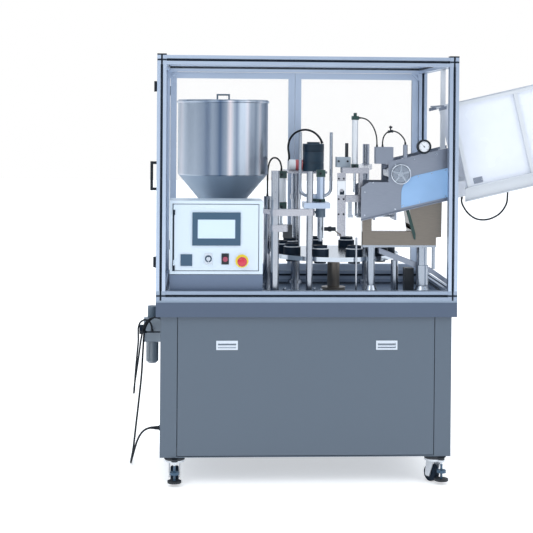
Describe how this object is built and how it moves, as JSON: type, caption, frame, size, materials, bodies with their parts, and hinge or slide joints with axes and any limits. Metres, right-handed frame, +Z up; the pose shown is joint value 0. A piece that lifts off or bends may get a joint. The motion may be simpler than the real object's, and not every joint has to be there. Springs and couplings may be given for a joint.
{
  "type": "tube filling machine",
  "caption": "Rotary tube filling machine in a slotted aluminium guard on a caster cabinet, with product hopper, control box, hot air sealing head and a sloping tube magazine.",
  "frame": {"origin": "on the floor, under the middle of the guard frame", "axes": "+X to the right along the machine towards the tube magazine, +Y to the back, +Z up"},
  "size_m": [2.0995, 0.918, 1.8563],
  "materials": {
    "cabinet_shell": "smooth satin powder coat, blue grey",
    "cabinet_frame": "satin powder coat",
    "table_apron": "brushed",
    "table_plate": "brushed",
    "guard_frame": "clear anodised, satin",
    "frame_fittings": "fine matt grain",
    "clear_covers": "clear acrylic",
    "control_box": "brushed",
    "hopper": "satin polished",
    "filling_pump": "satin polished",
    "drive_unit": "semi gloss",
    "turntable_column": "turned",
    "station_posts": "ground and polished",
    "station_arms": "anodised, satin",
    "air_cylinders": "anodised barrel with dark caps",
    "hot_air_blower": "matt, with a red heater tube",
    "air_hoses": "smooth",
    "discharge_chute": "brushed",
    "magazine_plates": "anodised, satin",
    "magazine_window": "tinted blue, glossy",
    "magazine_rails": "anodised, satin",
    "magazine_panels": "clear acrylic",
    "magazine_stand": "brushed",
    "pressure_gauges": "black case with white dial",
    "filter_regulator": "light grey, semi gloss, with a clear bowl",
    "cable_fittings": "matt nylon",
    "power_cable": "matt",
    "signal_cable": "matt",
    "left_door": "clear anodised, satin",
    "left_door_pane": "clear acrylic",
    "left_door_fittings": "fine matt grain",
    "rear_door_left": "anodised frame with a clear acrylic pane",
    "rear_door_right": "anodised frame with a clear acrylic pane",
    "front_panel": "smooth satin powder coat, blue grey",
    "panel_pulls": "polished",
    "control_door": "brushed",
    "control_fittings": "black, with a dark screen and a yellow ring",
    "key_switch": "polished",
    "start_button": "green, glossy",
    "stop_button": "red, glossy",
    "turntable": "turned and polished",
    "tube_cups": "dark blue green, turned",
    "hopper_lid": "satin polished",
    "filling_nozzle": "polished",
    "hot_air_head": "anodised, with dark clamps",
    "exhaust_pipes": "polished",
    "crimp_ram": "ground",
    "crimp_jaw_left": "ground",
    "crimp_jaw_right": "ground",
    "tipping_cradle": "polished",
    "feed_wheel": "white, machined",
    "regulator_knob": "matt, ribbed",
    "caster_fork_fl": "cast, satin, with a black pad and a red thumbwheel",
    "caster_fork_fr": "cast, satin, with a black pad and a red thumbwheel",
    "caster_fork_rl": "cast, satin, with a black pad and a red thumbwheel",
    "caster_fork_rr": "cast, satin, with a black pad and a red thumbwheel",
    "caster_wheel_fl": "dark nylon",
    "caster_wheel_fr": "dark nylon",
    "caster_wheel_rl": "dark nylon",
    "caster_wheel_rr": "dark nylon"
  },
  "bodies": {
    "machine": {"cabinet_shell": "cabinet_shell", "cabinet_frame": "cabinet_frame", "table_apron": "table_apron", "table_plate": "table_plate", "guard_frame": "guard_frame", "frame_fittings": "frame_fittings", "clear_covers": "clear_covers", "control_box": "control_box", "hopper": "hopper", "filling_pump": "filling_pump", "drive_unit": "drive_unit", "turntable_column": "turntable_column", "station_posts": "station_posts", "station_arms": "station_arms", "air_cylinders": "air_cylinders", "hot_air_blower": "hot_air_blower", "air_hoses": "air_hoses", "discharge_chute": "discharge_chute", "magazine_plates": "magazine_plates", "magazine_window": "magazine_window", "magazine_rails": "magazine_rails", "magazine_panels": "magazine_panels", "magazine_stand": "magazine_stand", "pressure_gauges": "pressure_gauges", "filter_regulator": "filter_regulator", "cable_fittings": "cable_fittings", "power_cable": "power_cable", "signal_cable": "signal_cable"},
    "left_door": {"left_door": "left_door", "left_door_pane": "left_door_pane", "left_door_fittings": "left_door_fittings"},
    "rear_door_left": {"rear_door_left": "rear_door_left"},
    "rear_door_right": {"rear_door_right": "rear_door_right"},
    "front_panel": {"front_panel": "front_panel", "panel_pulls": "panel_pulls"},
    "control_door": {"control_door": "control_door", "control_fittings": "control_fittings"},
    "key_switch": {"key_switch": "key_switch"},
    "start_button": {"start_button": "start_button"},
    "stop_button": {"stop_button": "stop_button"},
    "turntable": {"turntable": "turntable", "tube_cups": "tube_cups"},
    "hopper_lid": {"hopper_lid": "hopper_lid"},
    "filling_nozzle": {"filling_nozzle": "filling_nozzle"},
    "hot_air_head": {"hot_air_head": "hot_air_head", "exhaust_pipes": "exhaust_pipes"},
    "crimp_ram": {"crimp_ram": "crimp_ram"},
    "crimp_jaw_left": {"crimp_jaw_left": "crimp_jaw_left"},
    "crimp_jaw_right": {"crimp_jaw_right": "crimp_jaw_right"},
    "tipping_cradle": {"tipping_cradle": "tipping_cradle"},
    "feed_wheel": {"feed_wheel": "feed_wheel"},
    "regulator_knob": {"regulator_knob": "regulator_knob"},
    "caster_fork_fl": {"caster_fork_fl": "caster_fork_fl"},
    "caster_wheel_fl": {"caster_wheel_fl": "caster_wheel_fl"},
    "caster_fork_fr": {"caster_fork_fr": "caster_fork_fr"},
    "caster_wheel_fr": {"caster_wheel_fr": "caster_wheel_fr"},
    "caster_fork_rl": {"caster_fork_rl": "caster_fork_rl"},
    "caster_wheel_rl": {"caster_wheel_rl": "caster_wheel_rl"},
    "caster_fork_rr": {"caster_fork_rr": "caster_fork_rr"},
    "caster_wheel_rr": {"caster_wheel_rr": "caster_wheel_rr"}
  },
  "joints": [
    {"name": "left_door_hinge", "type": "hinge", "parent": "machine", "child": "left_door", "pos_m": [-0.657, -0.384, 1.325], "axis": [0, 0, 1], "range_deg": [0, 110]},
    {"name": "rear_door_left_hinge", "type": "hinge", "parent": "machine", "child": "rear_door_left", "pos_m": [-0.609, 0.432, 1.325], "axis": [0, 0, 1], "range_deg": [0, 110]},
    {"name": "rear_door_right_hinge", "type": "hinge", "parent": "machine", "child": "rear_door_right", "pos_m": [0.609, 0.432, 1.325], "axis": [0, 0, -1], "range_deg": [0, 110]},
    {"name": "front_panel_slide", "type": "slide", "parent": "machine", "child": "front_panel", "axis": [0, -1, 0], "range_m": [0, 0.08]},
    {"name": "control_door_hinge", "type": "hinge", "parent": "machine", "child": "control_door", "pos_m": [-0.5745, -0.3795, 1.066], "axis": [0, 0, -1], "range_deg": [0, 95]},
    {"name": "key_turn", "type": "hinge", "parent": "control_door", "child": "key_switch", "pos_m": [-0.426, -0.383, 0.975], "axis": [0, 1, 0], "range_deg": [0, 90]},
    {"name": "start_press", "type": "slide", "parent": "control_door", "child": "start_button", "axis": [0, 1, 0], "range_m": [0, 0.0045], "stiffness_N_per_m": 400},
    {"name": "stop_press", "type": "slide", "parent": "control_door", "child": "stop_button", "axis": [0, 1, 0], "range_m": [0, 0.006]},
    {"name": "turntable_spin", "type": "hinge", "parent": "machine", "child": "turntable", "pos_m": [0.155, 0, 0.963], "axis": [0, 0, 1], "continuous": true},
    {"name": "hopper_lid_lift", "type": "slide", "parent": "machine", "child": "hopper_lid", "axis": [0, 0, 1], "range_m": [0, 0.1]},
    {"name": "filling_nozzle_slide", "type": "slide", "parent": "machine", "child": "filling_nozzle", "axis": [0, 0, 1], "range_m": [-0.03, 0]},
    {"name": "hot_air_head_slide", "type": "slide", "parent": "machine", "child": "hot_air_head", "axis": [0, 0, 1], "range_m": [0, 0.1]},
    {"name": "crimp_ram_slide", "type": "slide", "parent": "machine", "child": "crimp_ram", "axis": [0, 0, 1], "range_m": [-0.03, 0]},
    {"name": "crimp_jaw_left_pivot", "type": "hinge", "parent": "machine", "child": "crimp_jaw_left", "pos_m": [0.19626, -0.23455, 1.23], "axis": [0, 1, 0], "range_deg": [-5.4, 0]},
    {"name": "crimp_jaw_right_pivot", "type": "hinge", "parent": "machine", "child": "crimp_jaw_right", "pos_m": [0.24826, -0.23455, 1.23], "axis": [0, 1, 0], "range_deg": [0, 5.4]},
    {"name": "cradle_tip", "type": "hinge", "parent": "machine", "child": "tipping_cradle", "pos_m": [0.34728, -0.177, 1.15], "axis": [1, 0, 0], "range_deg": [-90, 0]},
    {"name": "feed_wheel_spin", "type": "hinge", "parent": "machine", "child": "feed_wheel", "pos_m": [0.414, -0.205, 1.34289], "axis": [0, 1, 0], "continuous": true},
    {"name": "regulator_turn", "type": "hinge", "parent": "machine", "child": "regulator_knob", "pos_m": [-0.679, 0.07, 0.68], "axis": [0, 0, 1], "range_deg": [-360, 360]},
    {"name": "caster_fl_swivel", "type": "hinge", "parent": "machine", "child": "caster_fork_fl", "pos_m": [-0.566, -0.36, 0.105], "axis": [0, 0, 1], "continuous": true},
    {"name": "caster_fl_roll", "type": "hinge", "parent": "caster_fork_fl", "child": "caster_wheel_fl", "pos_m": [-0.566, -0.344, 0.036], "axis": [1, 0, 0], "continuous": true},
    {"name": "caster_fr_swivel", "type": "hinge", "parent": "machine", "child": "caster_fork_fr", "pos_m": [0.566, -0.36, 0.105], "axis": [0, 0, 1], "continuous": true},
    {"name": "caster_fr_roll", "type": "hinge", "parent": "caster_fork_fr", "child": "caster_wheel_fr", "pos_m": [0.558, -0.34614, 0.036], "axis": [0.866, 0.5, 0], "continuous": true},
    {"name": "caster_rl_swivel", "type": "hinge", "parent": "machine", "child": "caster_fork_rl", "pos_m": [-0.566, 0.36, 0.105], "axis": [0, 0, 1], "continuous": true},
    {"name": "caster_rl_roll", "type": "hinge", "parent": "caster_fork_rl", "child": "caster_wheel_rl", "pos_m": [-0.57147, 0.34497, 0.036], "axis": [-0.9397, 0.342, 0], "continuous": true},
    {"name": "caster_rr_swivel", "type": "hinge", "parent": "machine", "child": "caster_fork_rr", "pos_m": [0.566, 0.36, 0.105], "axis": [0, 0, 1], "continuous": true},
    {"name": "caster_rr_roll", "type": "hinge", "parent": "caster_fork_rr", "child": "caster_wheel_rr", "pos_m": [0.57147, 0.34497, 0.036], "axis": [-0.9397, -0.342, 0], "continuous": true}
  ],
  "couplings": [
    {"joint": "crimp_jaw_left_pivot", "follows": "crimp_ram_slide", "rad_per_m": 3.08},
    {"joint": "crimp_jaw_right_pivot", "follows": "crimp_ram_slide", "rad_per_m": -3.08}
  ]
}
